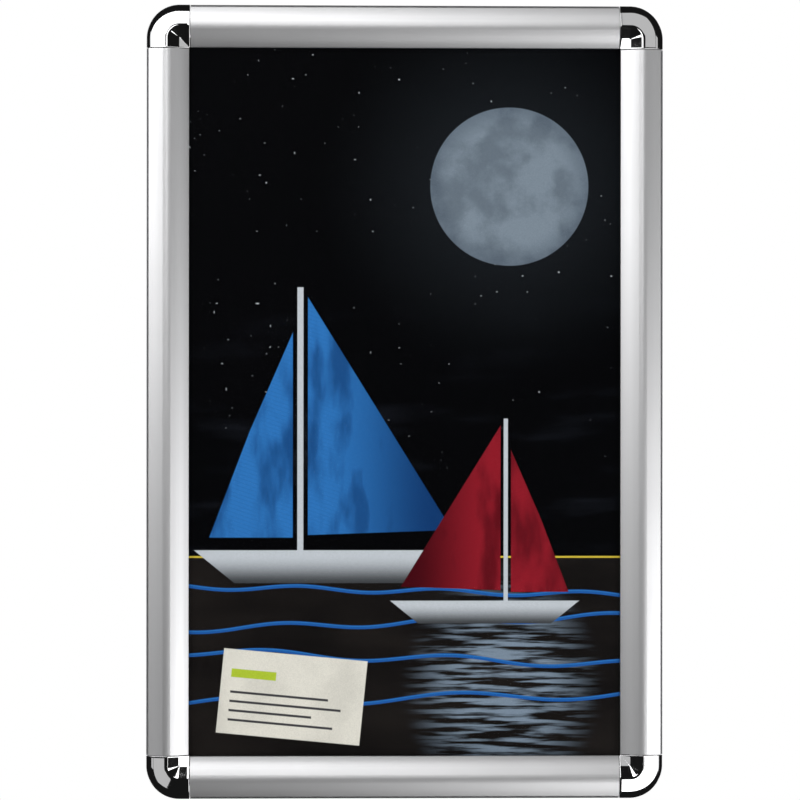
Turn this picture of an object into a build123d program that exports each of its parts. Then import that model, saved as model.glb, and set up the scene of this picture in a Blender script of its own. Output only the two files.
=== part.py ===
from build123d import *
from math import sin, sqrt, radians
import os

# A snap-open poster frame for a wall. X runs to the right, Z up, and the front faces -Y.
# The back lies on the wall plane, y = 0, and the origin is the middle of the frame there.
# Sections are drawn in two directions: inset, from a rail's outer edge towards the picture,
# and height, from the wall plane towards the front. Lengths are in millimetres.

# The frame, over its rails
frame_width = 306.0
frame_height = 469.8
rail_width = 25.0
rail_depth = 12.4
ridge_share = 0.48
ridge_radius = 10.0
end_gap = 0.3

# What the frame holds, from the wall outwards
insert_overlap_share = 0.24
insert_clearance = 0.3
panel_thickness = 1.5
poster_thickness = 0.25
sheet_thickness = 0.5

# Base rail, extruded
web_thickness = 1.2
web_setback = 1.4
outer_wall_inset = 0.35
outer_wall_thickness = 1.2
rib_thickness = 1.2
outer_rib_share = 0.24
hook_reach = 0.7
hook_thickness = 0.8
seat_rise = 1.2

# Hinge along the outer edge: a bead on the snap rail in an open knuckle on the base rail
hinge_height = 6.4
bead_radius = 1.1
bead_clearance = 0.05
knuckle_thickness = 0.75
knuckle_first_angle = 152
knuckle_last_angle = 275
swing_clearance = 0.25

# Snap rail, extruded
skin_thickness = 1.2
edge_depth = 1.05
edge_angle = 105
edge_radius = 0.45
outer_facet_crown = 0.4
inner_facet_crown = 0.7
lip_thickness = 1.2
lip_height = 2.8
lip_clearance = 0.15
lip_edge_radius = 0.3
neck_reach = 2.3
neck_inner_angle = 15
neck_outer_angle = 50
neck_root_angle = 45
heel_reach = 1.95
heel_angle = -50
heel_root_angles = (-10, -82)
heel_back_angle = -72
heel_back_share = 0.3
notch_flank = 0.55
notch_direction = -28
notch_half_angle = 65

# Leaf springs, bowed between the heel and the seat behind the inner rib
spring_thickness = 0.4
spring_length = 32.0
spring_rise = 2.0
spring_clearance = 0.05
short_spring_gap = 10.75
long_spring_gap = 38.25

# Corner brackets and the grub screws in their legs
bracket_thickness = 1.5
bracket_side_clearance = 0.15
bracket_lift = 0.1
bracket_leg = 30.0
bracket_end_bevel = 1.5
grub_radius = 2.0
grub_length = 4.0
grub_along = 15.0
grub_socket_radius = 1.15
grub_socket_depth = 1.6
thread_clearance = 0.05

# Corner caps, moulded and plated
cap_proud = 0.45
cap_overlap = 0.65
cap_corner_share = 0.784
cap_ridge_radius = 5.0
cap_rim_bevel = 2.2
cap_knee_rise = 0.8
cap_wall = 1.8
cap_end_wall = 1.6
cap_corner_wall = 4.05
cap_window_clearance = 0.35
post_width = 6.0
post_setback = 0.75
cap_screw_radius = 1.45
cap_screw_length = 8.0
cap_screw_head_radius = 2.7
cap_screw_head_height = 1.1

# Fixing holes in the short base rails
wall_hole_radius = 2.25
wall_hole_gap = 13.35

# Levels above the wall plane
panel_top = web_thickness + panel_thickness
poster_top = panel_top + poster_thickness
sheet_top = poster_top + sheet_thickness
lip_foot = sheet_top + lip_clearance
lip_top = lip_foot + lip_height
bracket_foot = web_thickness + bracket_lift
bracket_top = bracket_foot + bracket_thickness
hook_top = bracket_top + hook_thickness
seat_top = hook_top + seat_rise

# Insets from the outer edge
ridge_inset = rail_width * ridge_share
bead_seat_radius = bead_radius + bead_clearance
hinge_inset = bead_seat_radius + knuckle_thickness
swing_radius = hinge_inset + swing_clearance
insert_inset = rail_width * (1 - insert_overlap_share)
inner_rib_end = insert_inset - insert_clearance
inner_rib_start = inner_rib_end - rib_thickness
outer_rib_inset = rail_width * outer_rib_share
outer_rib_end = outer_rib_inset + rib_thickness
bracket_start = outer_rib_end + bracket_side_clearance
bracket_end = inner_rib_start - bracket_side_clearance
bracket_width = bracket_end - bracket_start
bracket_middle = (bracket_start + bracket_end) / 2
web_end = rail_width - web_setback
cap_reach = rail_width + cap_overlap
cap_corner_radius = rail_width * cap_corner_share
rail_start = cap_reach + end_gap
leg_end = cap_reach + bracket_leg
cap_screw_inset = bracket_end - post_setback - post_width / 2
grub_inset = cap_reach + grub_along

# Places along the rails, from the frame's middle
wall_hole_place = frame_width / 2 - leg_end - wall_hole_gap
short_spring_place = wall_hole_place - wall_hole_radius - short_spring_gap - spring_length / 2
long_spring_place = frame_height / 2 - leg_end - long_spring_gap - spring_length / 2

wall_plane = Plane.XZ
front = Vector(0, -1, 0)
inward = {
    "top": Vector(0, 0, -1),
    "bottom": Vector(0, 0, 1),
    "left": Vector(1, 0, 0),
    "right": Vector(-1, 0, 0),
}
half_across = {
    "top": frame_height / 2,
    "bottom": frame_height / 2,
    "left": frame_width / 2,
    "right": frame_width / 2,
}
rail_length = {
    "top": frame_width - 2 * rail_start,
    "bottom": frame_width - 2 * rail_start,
    "left": frame_height - 2 * rail_start,
    "right": frame_height - 2 * rail_start,
}
corners = {
    "top_left": ("top", "left"),
    "top_right": ("right", "top"),
    "bottom_right": ("bottom", "right"),
    "bottom_left": ("left", "bottom"),
}
spring_places = {
    "top": (-short_spring_place, short_spring_place),
    "bottom": (-short_spring_place, short_spring_place),
    "left": (-long_spring_place, 0, long_spring_place),
    "right": (-long_spring_place, 0, long_spring_place),
}
hinge_point = (hinge_inset, hinge_height)
grub_places = ((bracket_middle, grub_inset), (grub_inset, bracket_middle))

os.makedirs("parts", exist_ok=True)


def save(builder, name):
    """Label a finished piece and write it."""
    builder.part.label = name
    export_step(builder.part, f"parts/{name}.step")


def section_plane(side):
    """The plane of a rail's section, halfway along it: x is the inset, y the height."""
    return Plane(
        origin=inward[side] * -half_across[side],
        x_dir=inward[side],
        z_dir=inward[side].cross(front),
    )


def corner_plane(corner):
    """The wall plane at a corner, with x and y along the insets of its two rails."""
    first, second = corners[corner]
    origin = inward[first] * -half_across[first] + inward[second] * -half_across[second]
    return Plane(origin=origin, x_dir=inward[first], z_dir=front)


def turned(radius, angle, about=hinge_point):
    """A point of the section at this radius and angle, about the hinge if nothing else is named."""
    point = Vector(*about) + Vector(radius, 0).rotate(Axis.Z, angle)
    return (point.X, point.Y)


# Marks on the snap rail's face, as (inset, height)
face_edge = turned(swing_radius + edge_depth, edge_angle)
face_ridge = (ridge_inset, rail_depth)
face_lip = (rail_width, lip_top)


def skin_radius(angle):
    """How far from the hinge a ray at this angle meets the middle of the outer facet's skin."""
    slope = (face_ridge[1] - face_edge[1]) / (face_ridge[0] - face_edge[0])
    crowned_edge = face_edge[1] + outer_facet_crown / 2
    middle = crowned_edge - skin_thickness / 2 + slope * (hinge_inset - face_edge[0])
    ray = Vector(1, 0).rotate(Axis.Z, angle)
    return (middle - hinge_height) / (ray.Y - slope * ray.X)


# The notch in the heel, and the middles of the spring's two ends
notch_foot = turned(heel_reach, heel_angle)
spring_toe = turned(
    spring_thickness / 2 / sin(radians(notch_half_angle)) + spring_clearance,
    notch_direction,
    notch_foot,
)
spring_heel = (
    inner_rib_start - spring_thickness / 2 - spring_clearance,
    hook_top + spring_thickness / 2 + spring_clearance,
)


def base_section():
    """Web, outer wall with the open knuckle, and two hooked ribs that make the bracket's channel."""
    with BuildSketch() as section:
        with Locations((outer_wall_inset, 0)):
            Rectangle(web_end - outer_wall_inset, web_thickness, align=Align.MIN)
            Rectangle(outer_wall_thickness, hinge_height, align=Align.MIN)
        with BuildLine():
            span = knuckle_last_angle - knuckle_first_angle
            inner = CenterArc(hinge_point, bead_seat_radius, knuckle_first_angle, span)
            outer = CenterArc(hinge_point, hinge_inset, knuckle_first_angle, span)
            Line(inner @ 0, outer @ 0)
            Line(inner @ 1, outer @ 1)
        make_face()
        with Locations(hinge_point):
            Circle(bead_seat_radius, mode=Mode.SUBTRACT)
        with Locations((outer_rib_inset, 0)):
            Rectangle(rib_thickness, hook_top, align=Align.MIN)
        with Locations((inner_rib_start, 0)):
            Rectangle(rib_thickness, seat_top, align=Align.MIN)
        with Locations((outer_rib_inset, bracket_top)):
            Rectangle(rib_thickness + hook_reach, hook_thickness, align=Align.MIN)
        with Locations((inner_rib_start - hook_reach, bracket_top)):
            Rectangle(rib_thickness + hook_reach, hook_thickness, align=Align.MIN)
    return section.sketch


def snap_section():
    """Two crowned facets with a soft ridge, the lip, and the bead with its neck and heel."""
    with BuildSketch() as section:
        with BuildLine():
            SagittaArc(face_edge, face_ridge, outer_facet_crown)
            SagittaArc(face_ridge, face_lip, inner_facet_crown)
            offset(amount=skin_thickness, kind=Kind.INTERSECTION, side=Side.RIGHT)
        make_face()
        ridge_zone = (ridge_inset - skin_thickness, ridge_inset + skin_thickness)
        inner_ridge = section.vertices().filter_by_position(Axis.X, *ridge_zone).sort_by(Axis.Y)[0]
        fillet(inner_ridge, ridge_radius - skin_thickness)
        outer_ridge = section.vertices().sort_by(Axis.Y)[-1]
        fillet(outer_ridge, ridge_radius)
        with Locations((rail_width, lip_foot)):
            Rectangle(lip_thickness, lip_height, align=(Align.MAX, Align.MIN))
        fillet(section.vertices().sort_by(Axis.X)[:1], edge_radius)
        fillet(section.vertices().group_by(Axis.X)[-1], lip_edge_radius)
        with Locations(hinge_point):
            Circle(swing_radius, mode=Mode.SUBTRACT)
            Circle(bead_radius)
        with BuildLine():
            Polyline(
                hinge_point,
                turned(neck_reach, neck_inner_angle),
                turned(skin_radius(neck_root_angle), neck_root_angle),
                turned(skin_radius(neck_outer_angle), neck_outer_angle),
                close=True,
            )
        make_face()
        with BuildLine():
            Polyline(
                hinge_point,
                turned(bead_radius, heel_root_angles[0]),
                turned(notch_flank, notch_direction + notch_half_angle, notch_foot),
                notch_foot,
                turned(notch_flank, notch_direction - notch_half_angle, notch_foot),
                turned(heel_reach + notch_flank * heel_back_share, heel_back_angle),
                turned(bead_radius, heel_root_angles[1]),
                close=True,
            )
        make_face()
    return section.sketch


def spring_section():
    """A strip of spring steel, bowed up between its two seats."""
    with BuildSketch() as section:
        with BuildLine():
            SagittaArc(spring_toe, spring_heel, spring_rise)
        trace(line_width=spring_thickness)
    return section.sketch


for side in inward:
    plane = section_plane(side)
    with BuildPart() as base_rail:
        with BuildSketch(plane):
            add(base_section())
        extrude(amount=rail_length[side] / 2, both=True)
        if side in ("top", "bottom"):
            with BuildSketch(wall_plane):
                with Locations((0, inward[side].Z * (bracket_middle - half_across[side]))):
                    with GridLocations(2 * wall_hole_place, 0, 2, 1):
                        Circle(wall_hole_radius)
            extrude(amount=web_thickness, mode=Mode.SUBTRACT)
    save(base_rail, f"{side}_base_rail")

    with BuildPart() as snap_rail:
        with BuildSketch(plane):
            add(snap_section())
        extrude(amount=rail_length[side] / 2, both=True)
    save(snap_rail, f"{side}_snap_rail")

    with BuildPart() as springs:
        for place in spring_places[side]:
            with BuildSketch(plane.offset(place)):
                add(spring_section())
            extrude(amount=spring_length / 2, both=True)
    save(springs, f"{side}_springs")


insert_width = frame_width - 2 * insert_inset
insert_height = frame_height - 2 * insert_inset
insert_layers = {
    "back_panel": (web_thickness, panel_thickness),
    "poster": (panel_top, poster_thickness),
    "clear_front_sheet": (poster_top, sheet_thickness),
}
for name, (foot, thickness) in insert_layers.items():
    with BuildPart() as layer:
        with BuildSketch(wall_plane.offset(foot)):
            Rectangle(insert_width, insert_height)
        extrude(amount=thickness)
    save(layer, name)


# Marks on the cap's face, as (inset, height). Its inner side bends at a knee, where the
# rounded corner ends, and the knee stands a little above the line from ridge to tip.
cap_rim = (-cap_proud, face_edge[1])
cap_ridge = (ridge_inset, rail_depth + cap_proud)
cap_tip = (cap_reach, lip_top + cap_proud)
knee_share = (cap_corner_radius - ridge_inset) / (cap_reach - ridge_inset)
cap_knee = (cap_corner_radius, cap_ridge[1] + (cap_tip[1] - cap_ridge[1]) * knee_share + cap_knee_rise)


def cap_section():
    """The cap's section: facets just proud of the rail's, a soft ridge and an eased rim."""
    with BuildSketch() as section:
        Polygon((-cap_proud, 0), cap_rim, cap_ridge, cap_knee, cap_tip, (cap_reach, 0), align=None)
        fillet(section.vertices().sort_by(Axis.Y)[-1], cap_ridge_radius)
        chamfer(section.vertices().group_by(Axis.X)[0].sort_by(Axis.Y)[-1], cap_rim_bevel)
    return section.sketch


# The hollow keeps one wall inside the facets, and its outer corner is cut off flat
hollow_start = cap_wall - cap_proud
hollow_end = cap_reach - cap_end_wall
hollow_rim = (hollow_start, cap_rim[1] - cap_wall)
hollow_ridge = (ridge_inset, cap_ridge[1] - cap_wall)
hollow_tip = (cap_reach, cap_tip[1] - cap_wall)
hollow_corner = 2 * cap_corner_radius - sqrt(2) * (cap_corner_radius + cap_proud - cap_corner_wall)
both_ways = ((Plane.XZ, -cap_reach), (Plane.YZ, cap_reach))

with BuildPart() as inner_facets:
    with BuildSketch():
        Rectangle(cap_reach, cap_reach, align=Align.MIN)
    extrude(amount=hollow_ridge[1])
    for plane, length in both_ways:
        with BuildSketch(plane):
            Polygon(hollow_ridge, hollow_tip, (cap_reach, hollow_ridge[1]), align=None)
        extrude(amount=length, mode=Mode.INTERSECT)

with BuildPart() as cap_hollow:
    with BuildSketch():
        Rectangle(hollow_end, hollow_end, align=Align.MIN)
        Polygon((0, 0), (hollow_corner, 0), (0, hollow_corner), align=None, mode=Mode.SUBTRACT)
    extrude(amount=hollow_ridge[1])
    for plane, length in both_ways:
        with BuildSketch(plane):
            Polygon(
                (hollow_start, 0),
                hollow_rim,
                hollow_ridge,
                (cap_reach, hollow_ridge[1]),
                (cap_reach, 0),
                align=None,
            )
        extrude(amount=length, mode=Mode.INTERSECT)
    add(inner_facets.part, mode=Mode.SUBTRACT)

# The cap: its section turned about the rounded corner, and carried on along both arms
with BuildPart() as cap_shell:
    with BuildSketch(Plane.XZ.offset(-cap_corner_radius)):
        add(cap_section())
        with Locations((cap_corner_radius, 0)):
            Rectangle(cap_reach, cap_ridge[1], align=Align.MIN, mode=Mode.SUBTRACT)
    revolve(axis=Axis((cap_corner_radius, cap_corner_radius, 0), (0, 0, 1)), revolution_arc=90)
    with BuildSketch(Plane.XZ.offset(-cap_corner_radius)):
        add(cap_section())
    extrude(amount=cap_corner_radius - cap_reach)
    with BuildSketch(Plane.YZ.offset(cap_corner_radius)):
        add(cap_section())
    extrude(amount=cap_reach - cap_corner_radius)
    add(cap_hollow.part, mode=Mode.SUBTRACT)
    with BuildSketch():
        with Locations((bracket_start - cap_window_clearance, bracket_start - cap_window_clearance)):
            Rectangle(cap_reach, cap_reach, align=Align.MIN)
    extrude(amount=lip_foot, mode=Mode.SUBTRACT)
    with BuildSketch(Plane.XY.offset(bracket_top)):
        with Locations((cap_screw_inset, cap_screw_inset)):
            Rectangle(post_width, post_width)
    extrude(amount=cap_ridge[1] - cap_wall - bracket_top)
    with BuildSketch(Plane.XY.offset(bracket_top)):
        with Locations((cap_screw_inset, cap_screw_inset)):
            Circle(cap_screw_radius + thread_clearance)
    extrude(amount=bracket_foot + cap_screw_length + thread_clearance - bracket_top, mode=Mode.SUBTRACT)

# A flat steel angle with holes for the cap's screw and its own grub screws
with BuildPart() as bracket_form:
    with BuildSketch(Plane.XY.offset(bracket_foot)) as bracket_plan:
        with Locations((bracket_start, bracket_start)):
            Rectangle(leg_end - bracket_start, bracket_width, align=Align.MIN)
            Rectangle(bracket_width, leg_end - bracket_start, align=Align.MIN)
        chamfer(bracket_plan.vertices().group_by(Axis.X)[-1], bracket_end_bevel)
        chamfer(bracket_plan.vertices().group_by(Axis.Y)[-1], bracket_end_bevel)
        with Locations(*grub_places):
            Circle(grub_radius + thread_clearance, mode=Mode.SUBTRACT)
        with Locations((cap_screw_inset, cap_screw_inset)):
            Circle(cap_screw_radius + thread_clearance, mode=Mode.SUBTRACT)
    extrude(amount=bracket_thickness)

with BuildPart() as cap_screw:
    with BuildSketch(Plane.XZ):
        Polygon(
            (0, -cap_screw_head_height),
            (cap_screw_head_radius, -cap_screw_head_height),
            (cap_screw_head_radius, 0),
            (cap_screw_radius, 0),
            (cap_screw_radius, cap_screw_length),
            (0, cap_screw_length),
            align=None,
        )
    revolve(axis=Axis.Z)

with BuildPart() as grub_screw:
    Cylinder(grub_radius, grub_length, align=(Align.CENTER, Align.CENTER, Align.MIN))
    with BuildSketch(Plane.XY.offset(grub_length)):
        RegularPolygon(grub_socket_radius, 6)
    extrude(amount=-grub_socket_depth, mode=Mode.SUBTRACT)

for corner in corners:
    with BuildPart() as corner_cap:
        with Locations(corner_plane(corner)):
            add(cap_shell.part)
    save(corner_cap, f"{corner}_corner_cap")

    with BuildPart() as corner_bracket:
        with Locations(corner_plane(corner)):
            add(bracket_form.part)
    save(corner_bracket, f"{corner}_corner_bracket")

with BuildPart() as cap_screws:
    for corner in corners:
        with Locations(corner_plane(corner)):
            with Locations((cap_screw_inset, cap_screw_inset, bracket_foot)):
                add(cap_screw.part)
save(cap_screws, "cap_screws")

with BuildPart() as bracket_grub_screws:
    for corner in corners:
        with Locations(corner_plane(corner)):
            with Locations(*[(x, y, web_thickness) for x, y in grub_places]):
                add(grub_screw.part)
save(bracket_grub_screws, "bracket_grub_screws")
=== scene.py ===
"""Looks for a snap-open poster frame with satin aluminium rails and rounded, plated corner caps.

X runs to the right, Z up, and the front faces -Y. Lengths on the frame and its print are in
millimetres, and lengths in the studio and in meshes are in metres. Every mesh is made where it
stands, round the middle of the frame's back.
"""

import logging
from collections.abc import Sequence
from dataclasses import dataclass
from enum import Enum

import bmesh
import bpy
import numpy as np
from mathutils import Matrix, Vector


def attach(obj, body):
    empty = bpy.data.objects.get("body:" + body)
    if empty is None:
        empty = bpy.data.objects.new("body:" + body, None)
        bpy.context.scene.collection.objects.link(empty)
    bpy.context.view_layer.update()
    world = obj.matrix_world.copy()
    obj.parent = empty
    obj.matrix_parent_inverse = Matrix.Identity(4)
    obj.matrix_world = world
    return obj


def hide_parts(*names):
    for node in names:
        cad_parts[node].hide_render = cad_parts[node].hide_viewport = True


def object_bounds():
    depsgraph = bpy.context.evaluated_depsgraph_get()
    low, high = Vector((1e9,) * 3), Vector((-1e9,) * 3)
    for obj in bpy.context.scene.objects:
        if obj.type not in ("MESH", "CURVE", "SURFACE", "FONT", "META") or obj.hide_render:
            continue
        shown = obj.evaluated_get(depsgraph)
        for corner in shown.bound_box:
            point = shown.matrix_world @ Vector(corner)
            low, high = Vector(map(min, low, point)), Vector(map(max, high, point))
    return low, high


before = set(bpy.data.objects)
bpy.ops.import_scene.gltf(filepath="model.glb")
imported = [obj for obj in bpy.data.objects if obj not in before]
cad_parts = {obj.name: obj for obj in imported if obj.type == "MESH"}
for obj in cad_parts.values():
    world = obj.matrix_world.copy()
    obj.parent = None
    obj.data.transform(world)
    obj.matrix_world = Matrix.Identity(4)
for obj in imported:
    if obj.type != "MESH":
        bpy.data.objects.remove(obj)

log = logging.getLogger("poster_frame")

MM = 0.001
CAD_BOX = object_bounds()
MERGE_DISTANCE = 0.002 * MM
WHITE = (1.0, 1.0, 1.0)
SQUARE = ((-1, -1), (1, -1), (1, 1), (-1, 1))

Socket = bpy.types.NodeSocket
Node = bpy.types.Node
Tree = bpy.types.NodeTree
Material = bpy.types.Material
Thing = bpy.types.Object
Pair = tuple[float, float]
Triple = tuple[float, float, float]
Colour = Triple
Paint = Colour | Socket
Value = float | Socket
Points = Sequence[Pair]


class Place(Enum):
    """A place on the frame, by the signs that tell where it lies across and up."""

    @property
    def label(self) -> str:
        """The place's words in the names of its pieces."""
        return self.name.lower()


class Side(Place):
    """A side of the frame."""

    TOP = (0, 1)
    BOTTOM = (0, -1)
    LEFT = (-1, 0)
    RIGHT = (1, 0)

    @property
    def run(self) -> str:
        """The axis that its rails run along."""
        return "Z" if self.value[0] else "X"


class Corner(Place):
    """A corner of the frame."""

    TOP_LEFT = (-1, 1)
    TOP_RIGHT = (1, 1)
    BOTTOM_RIGHT = (1, -1)
    BOTTOM_LEFT = (-1, -1)


@dataclass(frozen=True)
class Mottle:
    """Soft patches of noise: the noise's scale in each direction and its detail, the noise at
    which they start and are full, and the numbers that they have there."""

    scales: Triple
    detail: float
    low: float
    high: float
    first: float = 0.0
    last: float = 1.0


class Graph:
    """Adds nodes to a tree and links them."""

    def __init__(self, tree: Tree) -> None:
        """Keeps the tree to build in."""
        self.tree = tree

    def node(
        self, kind: str, inputs: dict[str | int, object] | None = None, **settings: object
    ) -> Node:
        """Adds a node.

        Args:
            kind: Blender's name of the node type.
            inputs: value or socket for each named or numbered input.
            settings: properties of the node.

        Returns:
            The new node.
        """
        made = self.tree.nodes.new(kind)
        for name, setting in settings.items():
            setattr(made, name, setting)
        for name, value in (inputs or {}).items():
            self.feed(made.inputs[name], value)
        return made

    def feed(self, socket: Socket, value: object) -> None:
        """Links a socket to an input, or sets the input's own value.

        Args:
            socket: the input.
            value: another node's output, a number, a vector or a colour.
        """
        if isinstance(value, Socket):
            self.tree.links.new(value, socket)
        elif isinstance(value, tuple) and socket.type == "RGBA":
            socket.default_value = (*value, 1.0)
        else:
            socket.default_value = value

    def place(self) -> Socket:
        """The Object coordinates."""
        return self.node("ShaderNodeTexCoord").outputs["Object"]

    def math(
        self, operation: str, first: Value, second: Value = 0.0, third: Value = 0.0
    ) -> Socket:
        """One step of arithmetic on numbers."""
        inputs = {0: first, 1: second, 2: third}
        return self.node("ShaderNodeMath", inputs, operation=operation).outputs[0]

    def vector(self, operation: str, first: Socket, second: Triple = (0.0, 0.0, 0.0)) -> Node:
        """One step of arithmetic on vectors."""
        return self.node("ShaderNodeVectorMath", {0: first, 1: second}, operation=operation)

    def dot(self, vector: Socket, direction: Triple) -> Socket:
        """How far a vector reaches along a direction."""
        return self.vector("DOT_PRODUCT", vector, direction).outputs["Value"]

    def stretch(self, vector: Socket, scale: Triple) -> Socket:
        """The vector with each direction scaled on its own."""
        return self.vector("MULTIPLY", vector, scale).outputs[0]

    def ramp(
        self, value: Value, low: float, high: float, first: float = 0.0, last: float = 1.0
    ) -> Socket:
        """Goes smoothly from one number to another.

        Args:
            value: what the ramp follows.
            low: the value at which it starts.
            high: the value at which it ends.
            first: the number at its start, and before.
            last: the number at its end, and after.

        Returns:
            The number that belongs to the value.
        """
        ends = {"From Min": low, "From Max": high, "To Min": first, "To Max": last}
        made = self.node("ShaderNodeMapRange", ends, interpolation_type="SMOOTHSTEP")
        self.feed(made.inputs["Value"], value)
        return made.outputs["Result"]

    def mix(self, share: Value, first: Paint, second: Paint) -> Socket:
        """Mixes two colours by a share between 0 and 1."""
        made = self.node("ShaderNodeMix", {0: share, 6: first, 7: second}, data_type="RGBA")
        return made.outputs[2]

    def grain(self, vector: Socket, scales: Triple, detail: float) -> Socket:
        """Noise between 0 and 1, with its own scale in each direction."""
        inputs = {"Vector": self.stretch(vector, scales), "Scale": 1.0, "Detail": detail}
        return self.node("ShaderNodeTexNoise", inputs).outputs["Fac"]

    def mottle(self, vector: Socket, look: Mottle) -> Socket:
        """Soft patches of noise."""
        noise = self.grain(vector, look.scales, look.detail)
        return self.ramp(noise, look.low, look.high, look.first, look.last)

    def seen(self) -> Socket:
        """Tells the rays that see the studio.

        Returns:
            1 where the camera, a reflection or a clear part looks, and otherwise 0.
        """
        rays = self.node("ShaderNodeLightPath").outputs
        seen = self.math("MAXIMUM", rays["Is Camera Ray"], rays["Is Glossy Ray"])
        return self.math("MAXIMUM", seen, rays["Is Transmission Ray"])


def effect_group(name: str, inputs: dict[str, float]) -> tuple[Graph, Socket, dict[str, Socket]]:
    """Starts a shader node group with the outputs Roughness, Height and Tone.

    Args:
        name: the group's name.
        inputs: each input's name and usual value, all plain numbers.

    Returns:
        The graph to build in, the Object coordinates and the inputs by name.
    """
    tree = bpy.data.node_groups.new(name, "ShaderNodeTree")
    for label, usual in inputs.items():
        made = tree.interface.new_socket(label, in_out="INPUT", socket_type="NodeSocketFloat")
        made.default_value = usual
    for label in ("Roughness", "Height", "Tone"):
        tree.interface.new_socket(label, in_out="OUTPUT", socket_type="NodeSocketFloat")
    graph = Graph(tree)
    entry = graph.node("NodeGroupInput")
    return graph, graph.place(), {label: entry.outputs[label] for label in inputs}


def extrusion_grain(run: str) -> Tree:
    """Fine die lines along a rail, and faint clouds in its satin finish.

    Args:
        run: the axis along the rail, X or Z.

    Returns:
        A group with the outputs Roughness, Height and Tone, a share between 0 and 1.
    """
    usual = {"Roughness": 0.35, "Line Depth": 0.5, "Cloud": 0.04}
    graph, place, entry = effect_group(f"extrusion_grain_{run}", usual)
    along, across, detail = 4.0, 2600.0, 3.0
    cloud_scales, line_share = (14.0, 14.0, 14.0), 0.08
    low, middle, high, half = 0.35, 0.5, 0.65, 0.5
    scales = (along, across, across) if run == "X" else (across, across, along)
    lines = graph.grain(place, scales, detail)
    clouds = graph.grain(place, cloud_scales, detail)
    rough = entry["Roughness"]
    for noise, share in ((clouds, entry["Cloud"]), (lines, line_share)):
        lift = graph.math("SUBTRACT", noise, middle)
        rough = graph.math("MULTIPLY_ADD", lift, share, rough)
    height = graph.math("MULTIPLY", lines, entry["Line Depth"])
    line_tone = graph.ramp(lines, low, high)
    tone = graph.math("MULTIPLY_ADD", line_tone, half, graph.ramp(clouds, low, high, 0.0, half))
    graph.node("NodeGroupOutput", {"Roughness": rough, "Height": height, "Tone": tone})
    return graph.tree


def handling_wear() -> Tree:
    """Faint smears and specks on a hard bright surface.

    Returns:
        A group with the outputs Roughness, Height and Tone, the share of the dulled places.
    """
    usual = {"Roughness": 0.03, "Smear": 0.05}
    graph, place, entry = effect_group("handling_wear", usual)
    smears = graph.mottle(place, Mottle((60.0, 60.0, 130.0), 4.0, 0.5, 0.75))
    specks = graph.mottle(place, Mottle((1500.0, 1500.0, 1500.0), 1.0, 0.7, 0.78))
    swell = graph.grain(place, (90.0, 90.0, 90.0), 1.0)
    rough = graph.math("MULTIPLY_ADD", smears, entry["Smear"], entry["Roughness"])
    rough = graph.math("MULTIPLY_ADD", specks, entry["Smear"], rough)
    tone = graph.math("MAXIMUM", smears, specks)
    graph.node("NodeGroupOutput", {"Roughness": rough, "Height": swell, "Tone": tone})
    return graph.tree


class Finish:
    """What all finishes share: a material with one Principled shader."""

    def start(self, name: str, **plain: object) -> tuple[Material, Graph, Node]:
        """Makes a material.

        Args:
            name: the material's name.
            plain: the shader's own values, with underscores for spaces.

        Returns:
            The material, its graph and its Principled shader.
        """
        material = bpy.data.materials.new(name)
        material.use_nodes = True
        graph = Graph(material.node_tree)
        shader = material.node_tree.nodes["Principled BSDF"]
        for label, value in plain.items():
            graph.feed(shader.inputs[label.replace("_", " ")], value)
        return material, graph, shader

    def bump(self, graph: Graph, shader: Node, height: Socket, depth: float) -> None:
        """Feeds a height, in shares of a depth in metres, to the shader's normal."""
        made = graph.node("ShaderNodeBump", {"Height": height, "Distance": depth})
        graph.feed(shader.inputs["Normal"], made.outputs["Normal"])


@dataclass(frozen=True)
class Metal(Finish):
    """A metal face whose tone, roughness and relief come from an effect group.

    The tones are the colours at the group's tones 0 and 1, and the relief is in metres.
    """

    name: str
    tones: tuple[Colour, Colour]
    roughness: float
    relief: float
    metallic: float = 1.0

    def build(self, effects: Tree) -> Material:
        """Makes the material.

        Args:
            effects: the group, with the outputs Roughness, Height and Tone.

        Returns:
            The material.
        """
        material, graph, shader = self.start(self.name, Metallic=self.metallic)
        made = graph.node("ShaderNodeGroup", {"Roughness": self.roughness}, node_tree=effects)
        graph.feed(shader.inputs["Base Color"], graph.mix(made.outputs["Tone"], *self.tones))
        graph.feed(shader.inputs["Roughness"], made.outputs["Roughness"])
        self.bump(graph, shader, made.outputs["Height"], self.relief)
        return material


@dataclass(frozen=True)
class Anodised(Metal):
    """Satin anodised aluminium with die lines along the rail."""

    tones: tuple[Colour, Colour] = ((0.815, 0.815, 0.825), (0.785, 0.785, 0.795))
    roughness: float = 0.37
    relief: float = 0.002 * MM
    metallic: float = 0.95


@dataclass(frozen=True)
class Chrome(Metal):
    """Bright plating over moulded plastic, a little uneven as plated mouldings are."""

    name: str = "chrome_plating"
    tones: tuple[Colour, Colour] = ((0.93, 0.93, 0.935), (0.89, 0.89, 0.90))
    roughness: float = 0.035
    relief: float = 0.06 * MM


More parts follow.
